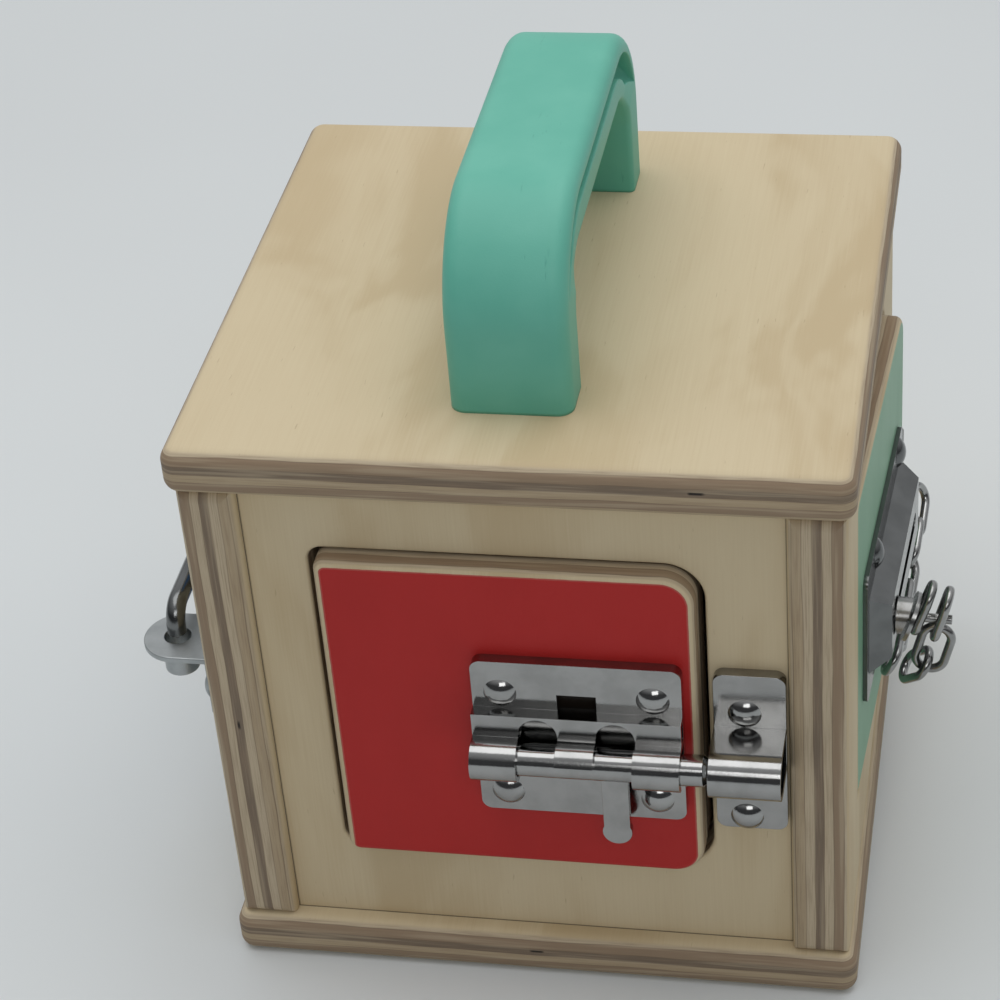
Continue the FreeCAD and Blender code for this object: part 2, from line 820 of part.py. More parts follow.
# The places where one link of the run hangs in the next, as it sags below the track towards the anchor.
run_joints = [
    (12.0, 4.0, -25.7),
    (22.7, 3.8, -26.4),
    (33.4, 3.7, -26.6),
    (44.1, 3.6, -26.0),
    (54.6, 3.7, -23.9),
    (64.6, 3.9, -20.1),
    (73.7, 4.1, -15.2),
]
run_links = list(zip(run_joints[:-1], run_joints[1:]))


def link_frame(ends, flat):
    """The centre of a link, the way it runs, and the way its flat side faces."""
    start, end = [Vec(button_x + x, door_face - out, button_height + z) for x, out, z in ends]
    along = (end - start).normalize()
    flat = (flat - along * flat.dot(along)).normalize()
    return (start + end) * 0.5, along, flat


def facing(angle):
    """The direction out of the door, leaned up by an angle."""
    lean = math.radians(angle)
    return Vec(0, -math.cos(lean), math.sin(lean))


def link_frames():
    leaning = facing(-chain_lean)
    frames = [link_frame(ends, flat) for ends, flat in zip(slack_links, (leaning, leaning, RIGHT, leaning))]
    for index, ends in enumerate(run_links):
        frames.append(link_frame(ends, facing(link_tilt if index % 2 else -link_tilt)))
    return frames


def make_link(centre, along, flat):
    """One oval link of round wire: two straight sides joined by two half circles."""
    across = flat.cross(along)
    bend = (link_width - link_wire) / 2
    straight = link_length / 2 - link_wire / 2 - bend
    wire_radius = link_wire / 2
    link = None
    for sign in (-1, 1):
        side_start = centre + across * (sign * bend) - along * straight
        side = rod(wire_radius, side_start, side_start + along * (2 * straight))
        end_centre = centre + along * (sign * straight)
        first = end_centre - across * bend
        section = Part.Face(Part.Wire(Part.makeCircle(wire_radius, first, along)))
        end = turned(section, end_centre, flat * sign, 180)
        link = side.fuse(end) if link is None else link.fuse(side).fuse(end)
    return link.removeSplitter()


def make_chain_anchor():
    """The plate that the chain is fixed to, with a low staple of round wire."""
    plate_y = wall_face - sheet
    x1 = anchor_left + anchor_width
    anchor_top = anchor_bottom + anchor_height
    plate = slab(anchor_left, x1, anchor_bottom, anchor_top, plate_y, wall_face, plate_round, plate_round)
    centre_z = anchor_bottom + anchor_height / 2
    radius = staple_wire / 2
    crown_y = wall_face - staple_rise + radius
    low = centre_z - staple_span / 2
    high = centre_z + staple_span / 2
    staple = rod(radius, Vec(anchor_middle, crown_y, low), Vec(anchor_middle, crown_y, high))
    for z in (low, high):
        leg = rod(radius, Vec(anchor_middle, crown_y, z), Vec(anchor_middle, plate_y + sheet / 2, z))
        staple = staple.fuse(leg).fuse(Part.makeSphere(radius, Vec(anchor_middle, crown_y, z)))
    clearance = screw_shank / 2 + screw_hole_clearance
    anchor = plate.fuse(staple)
    return cut_all(anchor, holes(anchor_screws, clearance, plate_y - 1, wall_face + 1)).removeSplitter()


def make_eye_plate():
    """The bent plate that takes the end of the hook: a leg on the wall, and a tongue with a collared hole."""
    leg_y = wall_face - eye_sheet
    x0 = eye_middle - eye_tongue_width / 2
    x1 = eye_middle + eye_tongue_width / 2
    tongue_bottom = eye_tongue_top - eye_sheet
    leg = box(x0, x1, leg_y, wall_face, eye_tongue_top - eye_leg_height, eye_tongue_top)
    end_radius = eye_tongue_width / 2
    end_y = wall_face - eye_tongue_reach + end_radius
    tongue = box(x0, x1, end_y, wall_face, tongue_bottom, eye_tongue_top)
    tip = rod(end_radius, Vec(eye_middle, end_y, tongue_bottom), Vec(eye_middle, end_y, eye_tongue_top))
    hook_y = door_face - hook_standoff
    collar_top = Vec(eye_middle, hook_y, eye_tongue_top)
    collar_foot = Vec(eye_middle, hook_y, tongue_bottom - eye_collar_height)
    collar = rod(eye_hole_diameter / 2 + eye_collar_wall, collar_foot, collar_top)
    hole = rod(eye_hole_diameter / 2, collar_foot - UP, collar_top + UP)
    plate = leg.fuse(tongue).fuse(tip).fuse(collar).cut(hole)
    clearance = screw_shank / 2 + screw_hole_clearance
    return cut_all(plate, holes(eye_screws, clearance, leg_y - 1, wall_face + 1)).removeSplitter()


def make_hook_base():
    """The plate on the door that carries the hook on a headed pin."""
    plate_y = door_face - sheet
    half_width = hook_base_width / 2
    half_height = hook_base_height / 2
    plate = slab(
        hook_pivot - half_width,
        hook_pivot + half_width,
        hook_height - half_height,
        hook_height + half_height,
        plate_y,
        door_face,
        plate_round,
        plate_round,
    )
    hook_y = door_face - hook_standoff
    inner_y = hook_y + hook_wire / 2 + pin_end_play
    outer_y = hook_y - hook_wire / 2 - pin_end_play

    def at(y):
        return Vec(hook_pivot, y, hook_height)

    boss = rod(hook_boss_diameter / 2, at(inner_y), at(plate_y))
    pin = rod(hook_pin_diameter / 2, at(outer_y), at(inner_y))
    cap = rod(hook_boss_diameter / 2, at(outer_y - sheet), at(outer_y))
    base = plate.fuse(boss).fuse(pin).fuse(cap)
    clearance = screw_shank / 2 + screw_hole_clearance
    return cut_all(base, holes(hook_base_screws, clearance, plate_y - 1, door_face + 1)).removeSplitter()


def make_cabin_hook():
    """The hook: an eye on the pin, a straight run of wire, a bend and a short drop over the eye plate."""
    y = door_face - hook_standoff
    radius = hook_wire / 2
    z = hook_height
    eye_radius = hook_eye_diameter / 2
    eye_half = hook_eye_thickness / 2
    eye = rod(eye_radius, Vec(hook_pivot, y - eye_half, z), Vec(hook_pivot, y + eye_half, z))
    start = Vec(hook_pivot + eye_radius - radius / 2, y, z)
    bend_start = Vec(eye_middle - hook_bend, y, z)
    bend_end = Vec(eye_middle, y, z - hook_bend)
    diagonal = hook_bend * math.sqrt(0.5)
    bend_middle = Vec(bend_start.x + diagonal, y, bend_end.z + diagonal)
    tip = Vec(eye_middle, y, eye_tongue_top + hook_clearance)
    path = Part.Wire([line(start, bend_start), arc(bend_start, bend_middle, bend_end), line(bend_end, tip)])
    section = Part.Wire(Part.makeCircle(radius, start, RIGHT))
    wire = path.makePipeShell([section], True, False)
    wire = wire.makeChamfer(hook_tip_chamfer, [e for e in wire.Edges if e.BoundBox.ZMax < tip.z + 0.01])
    hook = eye.fuse(wire)
    bore_radius = hook_pin_diameter / 2 + pin_running_fit
    bore = rod(bore_radius, Vec(hook_pivot, y - hook_wire, z), Vec(hook_pivot, y + hook_wire, z))
    return hook.cut(bore).removeSplitter()


def make_turn_plate():
    """The plate of the turn button, with the post that the button turns on."""
    plate_y = panel_face - sheet
    half_width = turn_plate_width / 2
    half_height = turn_plate_height / 2
    plate = slab(
        turn_centre - half_width,
        turn_centre + half_width,
        turn_height - half_height,
        turn_height + half_height,
        plate_y,
        panel_face,
        plate_round,
        plate_round,
    )
    bar_y = door_face - turn_running_gap
    outer_y = bar_y - turn_bar_thickness - turn_running_gap

    def at(y):
        return Vec(turn_centre, y, turn_height)

    shoulder = rod(turn_shoulder_diameter / 2, at(bar_y + turn_running_gap), at(plate_y))
    post = rod(turn_post_diameter / 2, at(outer_y), at(plate_y))
    cap = rod(turn_cap_diameter / 2, at(outer_y - sheet), at(outer_y))
    base = plate.fuse(shoulder).fuse(post).fuse(cap)
    clearance = screw_shank / 2 + screw_hole_clearance
    return cut_all(base, holes(turn_screws, clearance, plate_y - 1, panel_face + 1)).removeSplitter()


def make_turn_button():
    """The bar that turns over the edge of the back door, with a ridge at each end for the fingers."""
    y1 = door_face - turn_running_gap
    y0 = y1 - turn_bar_thickness
    half = turn_bar_width / 2
    reach = turn_bar_length / 2 - half
    bar = box(turn_centre - half, turn_centre + half, y0, y1, turn_height - reach, turn_height + reach)
    for sign in (-1, 1):
        z = turn_height + sign * reach
        bar = bar.fuse(rod(half, Vec(turn_centre, y0, z), Vec(turn_centre, y1, z)))
        ridge = box(
            turn_centre - turn_grip_thickness / 2,
            turn_centre + turn_grip_thickness / 2,
            y0 - turn_grip_height,
            y0,
            z - turn_grip_width / 2,
            z + turn_grip_width / 2,
        )
        bar = bar.fuse(ridge)
    bore_radius = turn_post_diameter / 2 + turn_fit
    bore = rod(bore_radius, Vec(turn_centre, y0 - 1, turn_height), Vec(turn_centre, y1 + 1, turn_height))
    return bar.cut(bore).removeSplitter()


os.makedirs("parts", exist_ok=True)

# Base, lid and dowels.
base = rounded_plate(0.0)
save(cut_all(base, base_dowels()), "base_panel")
save(Part.makeCompound(base_dowels()), "base_dowels")
lid = cut_all(rounded_plate(wall_top), lid_dowels())
handle_holes = [
    rod(handle_screw_shank / 2, Vec(x, y, wall_top - 1), Vec(x, y, overall_top + 1))
    for x, y in handle_screw_places()
]
save(cut_all(lid, handle_holes), "lid_panel")
save(Part.makeCompound(lid_dowels()), "lid_dowels")

# Side walls and panels, each with its doorway.
half_depth = carcass_depth / 2
half_inside = carcass_width / 2 - wall_thickness
wall_inner = wall_face + wall_thickness
for wall_side, wall_screws, seat in (("right", anchor_screws, sheet), ("left", eye_screws, eye_sheet)):
    board = side_board(-half_depth, half_depth, wall_face, wall_inner, wall_edge_round, wall_screws, seat)
    wall = on_side(board, wall_side)
    save(cut_all(wall, base_dowels() + lid_dowels()), wall_side + "_wall")
panel_back = panel_face + panel_thickness
for panel_side, panel_screws, seat in (("front", strike_screws, rim_height), ("back", turn_screws, sheet)):
    board = side_board(-half_inside, half_inside, panel_face, panel_back, 0.0, panel_screws, seat)
    save(on_side(board, panel_side), panel_side + "_panel")

# Doors and their hinge pins. The right door stands ajar.
door_fittings = {
    "front": (bolt_screws, rim_height),
    "right": (track_screws, sheet),
    "back": ([], sheet),
    "left": (hook_base_screws, sheet),
}
for door_side, (fitting_screws, seat) in door_fittings.items():
    panel = door(fitting_screws, seat)
    if door_side == "right":
        panel = ajar(panel)
    save(on_side(panel, door_side), door_side + "_door")
    pins = Part.makeCompound(pin_holes(pin_diameter / 2, pin_in_door, pin_in_rail))
    save(on_side(pins, door_side), door_side + "_hinge_pins")

# Handle, with its screws and washers under the lid.
handle_bores = [
    rod(handle_screw_shank / 2, Vec(x, y, overall_top - 1), Vec(x, y, overall_top + handle_screw_bite))
    for x, y in handle_screw_places()
]
save(cut_all(make_handle(), handle_bores), "handle")
save(Part.makeCompound([handle_screw(x, y) for x, y in handle_screw_places()]), "handle_screws")
save(Part.makeCompound([handle_washer(x, y) for x, y in handle_screw_places()]), "handle_washers")

# Front: barrel bolt and strike.
save(make_bolt_plate(), "bolt_plate")
save(screws(bolt_screws, door_face - rim_height, screw_bite), "bolt_plate_screws")
save(make_sliding_bolt(), "sliding_bolt")
save(make_strike(), "strike_plate")
save(screws(strike_screws, panel_face - rim_height, screw_bite), "strike_screws")

# Right: chain track, button, washer, links and anchor.
save(on_side(ajar(make_chain_track()), "right"), "chain_track")
save(on_side(ajar(screws(track_screws, door_face - sheet, screw_bite)), "right"), "chain_track_screws")
save(on_side(ajar(make_chain_button()), "right"), "chain_button")
save(on_side(ajar(make_chain_ring()), "right"), "chain_ring")
for number, placing in enumerate(link_frames(), start=1):
    save(on_side(ajar(make_link(*placing)), "right"), "chain_link_%02d" % number)
save(on_side(make_chain_anchor(), "right"), "chain_anchor")
save(on_side(screws(anchor_screws, wall_face - sheet, screw_bite), "right"), "chain_anchor_screws")

# Left: cabin hook, its base and its eye plate.
save(on_side(make_hook_base(), "left"), "hook_base")
save(on_side(screws(hook_base_screws, door_face - sheet, screw_bite), "left"), "hook_base_screws")
save(on_side(make_cabin_hook(), "left"), "cabin_hook")
save(on_side(make_eye_plate(), "left"), "hook_eye_plate")
save(on_side(screws(eye_screws, wall_face - eye_sheet, screw_bite), "left"), "hook_eye_screws")

# Back: turn button.
save(on_side(make_turn_plate(), "back"), "turn_button_plate")
save(on_side(screws(turn_screws, panel_face - sheet, screw_bite), "back"), "turn_button_screws")
save(on_side(make_turn_button(), "back"), "turn_button")
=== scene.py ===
"""The looks of a plywood lock box: a carrying handle on top and a small locked door in each side.

Everything is in metres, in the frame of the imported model: +X to the right of the front, +Y to the back and
+Z up. Sizes written in millimetres carry MM, and shader coordinates are in millimetres.
"""

import math

import bmesh
import bpy
import numpy as np
from mathutils import Matrix, Vector


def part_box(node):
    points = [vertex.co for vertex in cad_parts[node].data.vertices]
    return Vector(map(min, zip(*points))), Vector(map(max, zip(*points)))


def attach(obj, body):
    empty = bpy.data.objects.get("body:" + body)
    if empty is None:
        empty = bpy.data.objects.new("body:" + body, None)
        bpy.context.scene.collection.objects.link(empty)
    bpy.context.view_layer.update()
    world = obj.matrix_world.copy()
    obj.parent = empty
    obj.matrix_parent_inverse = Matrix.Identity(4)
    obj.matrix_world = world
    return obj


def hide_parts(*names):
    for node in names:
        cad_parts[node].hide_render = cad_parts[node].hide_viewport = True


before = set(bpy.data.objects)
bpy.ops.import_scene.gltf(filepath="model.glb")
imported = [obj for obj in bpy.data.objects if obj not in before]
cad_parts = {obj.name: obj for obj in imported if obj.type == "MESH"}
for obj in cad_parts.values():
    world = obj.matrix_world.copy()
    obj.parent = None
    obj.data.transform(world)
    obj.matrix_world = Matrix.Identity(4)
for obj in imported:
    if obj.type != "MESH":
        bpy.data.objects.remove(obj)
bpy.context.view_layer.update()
MM = 0.001

# The viewpoint: a long lens from the front, above and a little to the right, held slightly off level.
# The lens is 103 mm on a 36 mm sensor.
view_azimuth = math.radians(13.03)
view_elevation = math.radians(35.56)
view_roll = math.radians(-5.08)
view_distance = 0.7494
view_target = Vector((-0.01892, 0.00185, 0.08935))

towards_viewer = Vector(
    (
        math.sin(view_azimuth) * math.cos(view_elevation),
        -math.cos(view_azimuth) * math.cos(view_elevation),
        math.sin(view_elevation),
    )
)
level_right = (-towards_viewer).cross(Vector((0, 0, 1))).normalized()
level_up = level_right.cross(-towards_viewer)
view_right = level_right * math.cos(view_roll) + level_up * math.sin(view_roll)
view_up = level_up * math.cos(view_roll) - level_right * math.sin(view_roll)
camera_data = bpy.data.cameras.new("camera")
camera_data.sensor_width = 36.0
camera_data.lens = 103.15
camera_data.clip_start = 0.05
camera_data.clip_end = 50.0
camera = bpy.data.objects.new("camera", camera_data)
bpy.context.scene.collection.objects.link(camera)
camera_turn = Matrix((view_right, view_up, towards_viewer)).transposed().to_4x4()
camera.matrix_world = Matrix.Translation(view_target + towards_viewer * view_distance) @ camera_turn
bpy.context.scene.camera = camera
bpy.context.scene.view_settings.view_transform = "Standard"


# The floor is a pale seamless sweep, which is not part of the object. Its finish is the first one made, so
# the two classes that every finish is written with come here: a Reading is a number read off the surface, on
# which Python's operators add maths nodes, and a Finish is one material, with one method for any other node.
class Reading:
    """One socket of a material. Adding, multiplying and so on make the node that does it."""

    def __init__(self, finish, socket):
        self.finish = finish
        self.socket = socket

    def maths(self, operation, *others, first=None):
        node = self.finish.tree.nodes.new("ShaderNodeMath")
        node.operation = operation
        values = (self,) + others if first is None else (first, self)
        for socket, value in zip(node.inputs, values):
            self.finish.plug(socket, value)
        return Reading(self.finish, node.outputs[0])

    def __add__(self, other):
        return self.maths("ADD", other)

    def __sub__(self, other):
        return self.maths("SUBTRACT", other)

    def __mul__(self, other):
        return self.maths("MULTIPLY", other)

    def __truediv__(self, other):
        return self.maths("DIVIDE", other)

    def __rsub__(self, other):
        return self.maths("SUBTRACT", first=other)

    def __rtruediv__(self, other):
        return self.maths("DIVIDE", first=other)

    __radd__ = __add__
    __rmul__ = __mul__

    def __abs__(self):
        return self.maths("ABSOLUTE")

    def least(self, other):
        return self.maths("MINIMUM", other)

    def most(self, other):
        return self.maths("MAXIMUM", other)

    def sine(self):
        return self.maths("SINE")

    def root(self):
        return self.maths("SQRT")

    def rise(self, low, high):
        """0 below low, 1 above high, and a smooth step between; low may be above high for a fall."""
        return self.finish.node(
            "ShaderNodeMapRange",
            {"interpolation_type": "SMOOTHSTEP"},
            Value=self,
            From_Min=low,
            From_Max=high,
        )


class Finish:
    """A material whose colour, roughness and bump are worked out over the surface."""

    def __init__(self, name, **sockets):
        self.material = bpy.data.materials.new(name)
        self.material.use_nodes = True
        self.tree = self.material.node_tree
        self.shader = self.tree.nodes["Principled BSDF"]
        self.set(**sockets)

    def plug(self, socket, value):
        if isinstance(value, Reading):
            self.tree.links.new(value.socket, socket)
        elif socket.type == "RGBA" and len(value) == 3:
            socket.default_value = (*value, 1.0)
        else:
            socket.default_value = value

    def set(self, **sockets):
        for name, value in sockets.items():
            self.plug(self.shader.inputs[name.replace("_", " ")], value)
        return self

    def node(self, kind, settings=None, stops=None, output=0, **sockets):
        node = self.tree.nodes.new(kind)
        for key, value in (settings or {}).items():
            setattr(node, key, value)
        if stops:
            elements = node.color_ramp.elements
            while len(elements) < len(stops):
                elements.new(0.5)
            for element, (position, colour) in zip(elements, stops):
                element.position = position
                element.color = (*colour, 1.0)
        for name, value in sockets.items():
            self.plug(node.inputs[name.replace("_", " ")], value)
        return Reading(self, node.outputs[output])

    def place(self, turn=0.0, shift=(0.0, 0.0, 0.0)):
        """Object coordinates in millimetres, turned about the upright axis and shifted, as x, y and z."""
        spot = self.node("ShaderNodeTexCoord", output=3)
        mapped = self.node(
            "ShaderNodeMapping",
            Vector=spot,
            Scale=(1 / MM, 1 / MM, 1 / MM),
            Rotation=(0.0, 0.0, turn),
            Location=shift,
        )
        apart = self.node("ShaderNodeSeparateXYZ", Vector=mapped).socket.node
        return tuple(Reading(self, out) for out in apart.outputs)

    def point(self, x, y, z):
        return self.node("ShaderNodeCombineXYZ", X=x, Y=y, Z=z)

    def noise(self, x, y, z, detail=3.0, roughness=0.55, distortion=0.0):
        """Soft noise between 0 and 1 whose grains are about one unit of the given coordinates."""
        return self.node(
            "ShaderNodeTexNoise",
            Vector=self.point(x, y, z),
            Scale=1.0,
            Detail=detail,
            Roughness=roughness,
            Distortion=distortion,
        )

    def mix(self, share, first, second):
        """first where share is 0 and second where it is 1; both are colours."""
        node = self.tree.nodes.new("ShaderNodeMix")
        node.data_type = "RGBA"
        self.plug(node.inputs[0], share)
        self.plug(node.inputs[6], first)
        self.plug(node.inputs[7], second)
        return Reading(self, node.outputs[2])

    def relief(self, height, distance):
        """Bump from a height between 0 and 1 that stands for this distance in metres."""
        return self.node("ShaderNodeBump", Height=height, Strength=1.0, Distance=distance)


floor_half = 6.0
floor_finish = Finish("pale_sweep", Roughness=0.75, Specular_IOR_Level=0.2)
floor_x, floor_y, floor_z = floor_finish.place()
floor_blotch = floor_finish.noise(floor_x * 0.004, floor_y * 0.004, floor_z, detail=2.0)
floor_finish.set(Base_Color=floor_finish.mix(floor_blotch, (0.67, 0.695, 0.70), (0.73, 0.76, 0.765)))
floor_mesh = bpy.data.meshes.new("floor")
floor_corners = [(-1, -1), (1, -1), (1, 1), (-1, 1)]
floor_mesh.from_pydata([(x * floor_half, y * floor_half, 0.0) for x, y in floor_corners], [], [(0, 1, 2, 3)])
floor_mesh.materials.append(floor_finish.material)
floor = bpy.data.objects.new("floor", floor_mesh)
bpy.context.scene.collection.objects.link(floor)


# The light is a soft sky and two softboxes. The sky is brightest above and behind and dim in front, so the lid
# is the best lit face and the metal has something dark to mirror. The camera sees it as a pale backdrop.
world = bpy.data.worlds.new("studio")
world.use_nodes = True
bpy.context.scene.world = world
sky = world.node_tree
sky_direction = sky.nodes.new("ShaderNodeTexCoord")
sky_parts = sky.nodes.new("ShaderNodeSeparateXYZ")
sky_sum = sky.nodes.new("ShaderNodeMath")
sky_sum.operation = "MULTIPLY_ADD"
sky_ramp = sky.nodes.new("ShaderNodeValToRGB")
sky.links.new(sky_direction.outputs["Generated"], sky_parts.inputs[0])
sky.links.new(sky_parts.outputs["Y"], sky_sum.inputs[0])
sky_sum.inputs[1].default_value = 0.5
sky.links.new(sky_parts.outputs["Z"], sky_sum.inputs[2])
sky.links.new(sky_sum.outputs[0], sky_ramp.inputs["Fac"])
sky_ramp.color_ramp.elements[0].position = 0.0
sky_ramp.color_ramp.elements[0].color = (0.07, 0.072, 0.075, 1)
sky_ramp.color_ramp.elements[1].position = 0.75
sky_ramp.color_ramp.elements[1].color = (0.61, 0.62, 0.63, 1)
sky_view = sky.nodes.new("ShaderNodeLightPath")
sky_seen = sky.nodes.new("ShaderNodeMix")
sky_seen.data_type = "RGBA"
sky_seen.inputs[7].default_value = (0.60, 0.63, 0.64, 1)
sky.links.new(sky_view.outputs["Is Camera Ray"], sky_seen.inputs[0])
sky.links.new(sky_ramp.outputs[0], sky_seen.inputs[6])
sky.links.new(sky_seen.outputs[2], sky.nodes["Background"].inputs[0])
sky.nodes["Background"].inputs[1].default_value = 1.0


def softbox(name, spot, aim, width, height, watts):
    """A rectangular lamp at one spot that faces another."""
    data = bpy.data.lights.new(name, "AREA")
    data.shape = "RECTANGLE"
    data.size = width
    data.size_y = height
    data.energy = watts
    lamp = bpy.data.objects.new(name, data)
    bpy.context.scene.collection.objects.link(lamp)
    lamp.location = spot
    lamp.rotation_euler = (Vector(aim) - Vector(spot)).to_track_quat("-Z", "Y").to_euler()


softbox("overhead_light", (-0.1, 0.15, 1.7), (0, 0, 0.1), 1.8, 1.5, 12.5)
softbox("front_light", (0.35, -1.6, 1.25), (0, 0, 0.08), 1.1, 0.6, 5.0)


# The carcass is birch plywood, sanded and left bare, and hidden dowels pin it together. Its colour is read
# from the depth below the face, so a pale veneer covers the faces and the plies come out on every edge.
veneer_pale = (0.66, 0.55, 0.365)
veneer_warm = (0.57, 0.45, 0.275)
veneer_fleck = (0.40, 0.29, 0.165)
ply_light = (0.54, 0.445, 0.31)
ply_tan = (0.45, 0.35, 0.225)
ply_brown = (0.30, 0.215, 0.14)
ply_dark = (0.20, 0.15, 0.105)
glue_line = (0.20, 0.14, 0.09)
# Near-black for the gaps in the core plies and the panel joints, and also for the painted shade behind the
# bolt.
void_and_painted_shade_dark = (0.022, 0.016, 0.012)


def veneer(finish, along, across, level):
    """Rotary-cut birch: fine fibres along the grain, a slow cloudy figure, and sparse short flecks."""
    fibre = finish.noise(across * 1.9, along * 0.035, level * 0.05, detail=5.0, roughness=0.6)
    cloud = finish.noise(across * 0.022, along * 0.009, level * 0.01, detail=3.0, distortion=0.8)
    rings = (across * 0.16 + cloud * 22.0 + along * 0.012).sine() * 0.5 + 0.5
    flecks = finish.noise(across * 1.3, along * 0.16, level * 0.2, detail=1.0).rise(0.735, 0.80)
    warmth = fibre * 0.45 + cloud * 0.55 + rings * cloud.rise(0.42, 0.62) * 0.38
    colour = finish.mix(warmth.rise(0.28, 0.95), veneer_pale, veneer_warm)
    return finish.mix(flecks * 0.45, colour, veneer_fleck), fibre


def ply_edge(finish, depth, along, plies):
    """The edge of a board: each ply in its own tone, streaked along its length, with glue lines between."""
    thickness = sum(share for share, tone in plies)
    stops = []
    reached = 0.0
    blur = 0.012
    for share, tone in plies:
        start = reached / thickness
        reached += share
        end = reached / thickness
        stops += [(start + blur, tone), (end - blur, tone)]
        if end < 0.99:
            stops.append((end, glue_line))
    wave = finish.noise(depth * 0.12, along * 0.03, 5.0, detail=2.0) * 1.1 - 0.55
    ramp = finish.node("ShaderNodeValToRGB", stops=stops, Fac=(depth + wave) / thickness)
    streak = finish.noise(depth * 3.2, along * 0.07, 3.0, detail=4.0, roughness=0.65)
    coarse = finish.noise(depth * 0.9, along * 0.025, 7.0, detail=2.0)
    shaded = finish.mix(streak.rise(0.4, 0.7) * 0.6, ramp, ply_brown)
    return finish.mix(coarse.rise(0.45, 0.7) * 0.4, shaded, ply_light), streak


def plywood(name, turn, face, thickness, plies, cracks=(), joints=False):
    """Birch plywood, its outer face at this distance along the turned y axis, or along z if turn is None."""
    finish = Finish(name, Roughness=0.62, Specular_IOR_Level=0.35)
    x, y, z = finish.place(turn or 0.0)
    if turn is None:
        depth = face - z
        along, across, run = (y, x, x + y)
    else:
        depth = y + face
        along, across, run = (z, x, z)
    face_colour, fibre = veneer(finish, along, across, depth)
    edge_colour, streak = ply_edge(finish, depth, run, plies)
    inner = thickness - depth
    bare_edge = depth.least(inner).rise(0.25, 0.75)
    colour = finish.mix(bare_edge, face_colour, edge_colour)
    gap = 0.0
    for centre, half, threshold in cracks:
        in_ply = abs(depth - centre).rise(half, half * 0.35)
        patch = finish.noise(run * 0.045, centre * 3.0, 0.0, detail=2.0).rise(threshold, threshold + 0.03)
        gap = in_ply * patch + gap
    if cracks:
        colour = finish.mix(gap.least(1.0) * bare_edge, colour, void_and_painted_shade_dark)
    if joints:
        seam = abs(x).rise(panel_half_wide - 0.45, panel_half_wide)
        seam = seam.most(abs(z - panel_middle).rise(panel_half_tall - 0.4, panel_half_tall))
        colour = finish.mix(seam * 0.75, colour, void_and_painted_shade_dark)
    height = fibre * 0.35 + streak * bare_edge * 0.65
    if cracks:
        height = height - gap * bare_edge * 3.0
    return finish.set(Base_Color=colour, Normal=finish.relief(height, 0.00010)).material


def give(node, material):
    """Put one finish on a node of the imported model."""
    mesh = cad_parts[node].data
    mesh.materials.clear()
    mesh.materials.append(material)


thin = 1.2
lid_plies = [
    (thin, ply_light),
    (2.2, ply_brown),
    (2.2, ply_dark),
    (2.1, ply_tan),
    (2.2, ply_brown),
    (2.1, ply_tan),
]
wall_plies = [
    (thin, ply_light),
    (2.4, ply_brown),
    (2.3, ply_light),
    (2.2, ply_dark),
    (2.3, ply_light),
    (2.4, ply_tan),
    (thin, ply_light),
]
panel_plies = [
    (thin, ply_light),
    (2.2, ply_brown),
    (2.4, ply_light),
    (2.4, ply_tan),
    (2.4, ply_brown),
    (1.4, ply_light),
]
lid_top = 158.0
base_top = 12.0
wall_out = 78.0
panel_out = 74.0
board = 12.0
wall = 14.0
panel_half_wide = 63.9
panel_half_tall = 66.9
panel_middle = 79.0
quarter = math.pi / 2
lid_crack = (4.6, 0.45, 0.66)
base_crack = (4.4, 0.4, 0.68)
wall_crack = (7.0, 0.4, 0.64)
give("lid_panel", plywood("lid_plywood", None, lid_top, board, lid_plies, [lid_crack]))
give("base_panel", plywood("base_plywood", None, base_top, board, lid_plies, [base_crack]))
give("right_wall", plywood("right_wall_plywood", -quarter, wall_out, wall, wall_plies))
give("left_wall", plywood("left_wall_plywood", quarter, wall_out, wall, wall_plies, [wall_crack]))
give("front_panel", plywood("front_panel_plywood", 0.0, panel_out, board, panel_plies, joints=True))
give("back_panel", plywood("back_panel_plywood", 2 * quarter, panel_out, board, panel_plies, joints=True))
dowel = Finish("dowel_beech", Roughness=0.6)
dowel_x, dowel_y, dowel_z = dowel.place()
dowel_grain = dowel.noise(dowel_x * 1.5, dowel_y * 1.5, dowel_z * 0.06, detail=4.0)
dowel.set(
    Base_Color=dowel.mix(dowel_grain.rise(0.3, 0.7), ply_light, ply_tan),
    Normal=dowel.relief(dowel_grain, 0.00008),
)
give("base_dowels", dowel.material)
give("lid_dowels", dowel.material)


# The doors are the same plywood with a satin painted panel on the face. The paint stops short of the rounded
# rim, which stays bare, and its masked edge shows as a thin paler line. Behind the bolt the face is painted
# near-black: a painted shade that stands in for the shadow in the recess under the bolt plate.
door_face = 78.5
paint_left = -45.4
paint_right = 41.4
paint_bottom = 37.4
paint_top = 126.4
paint_round_hinge = 1.6
paint_round_free = 6.5
ajar = math.radians(3.4)
pivot = Vector((-35.0, -70.5, 0.0))


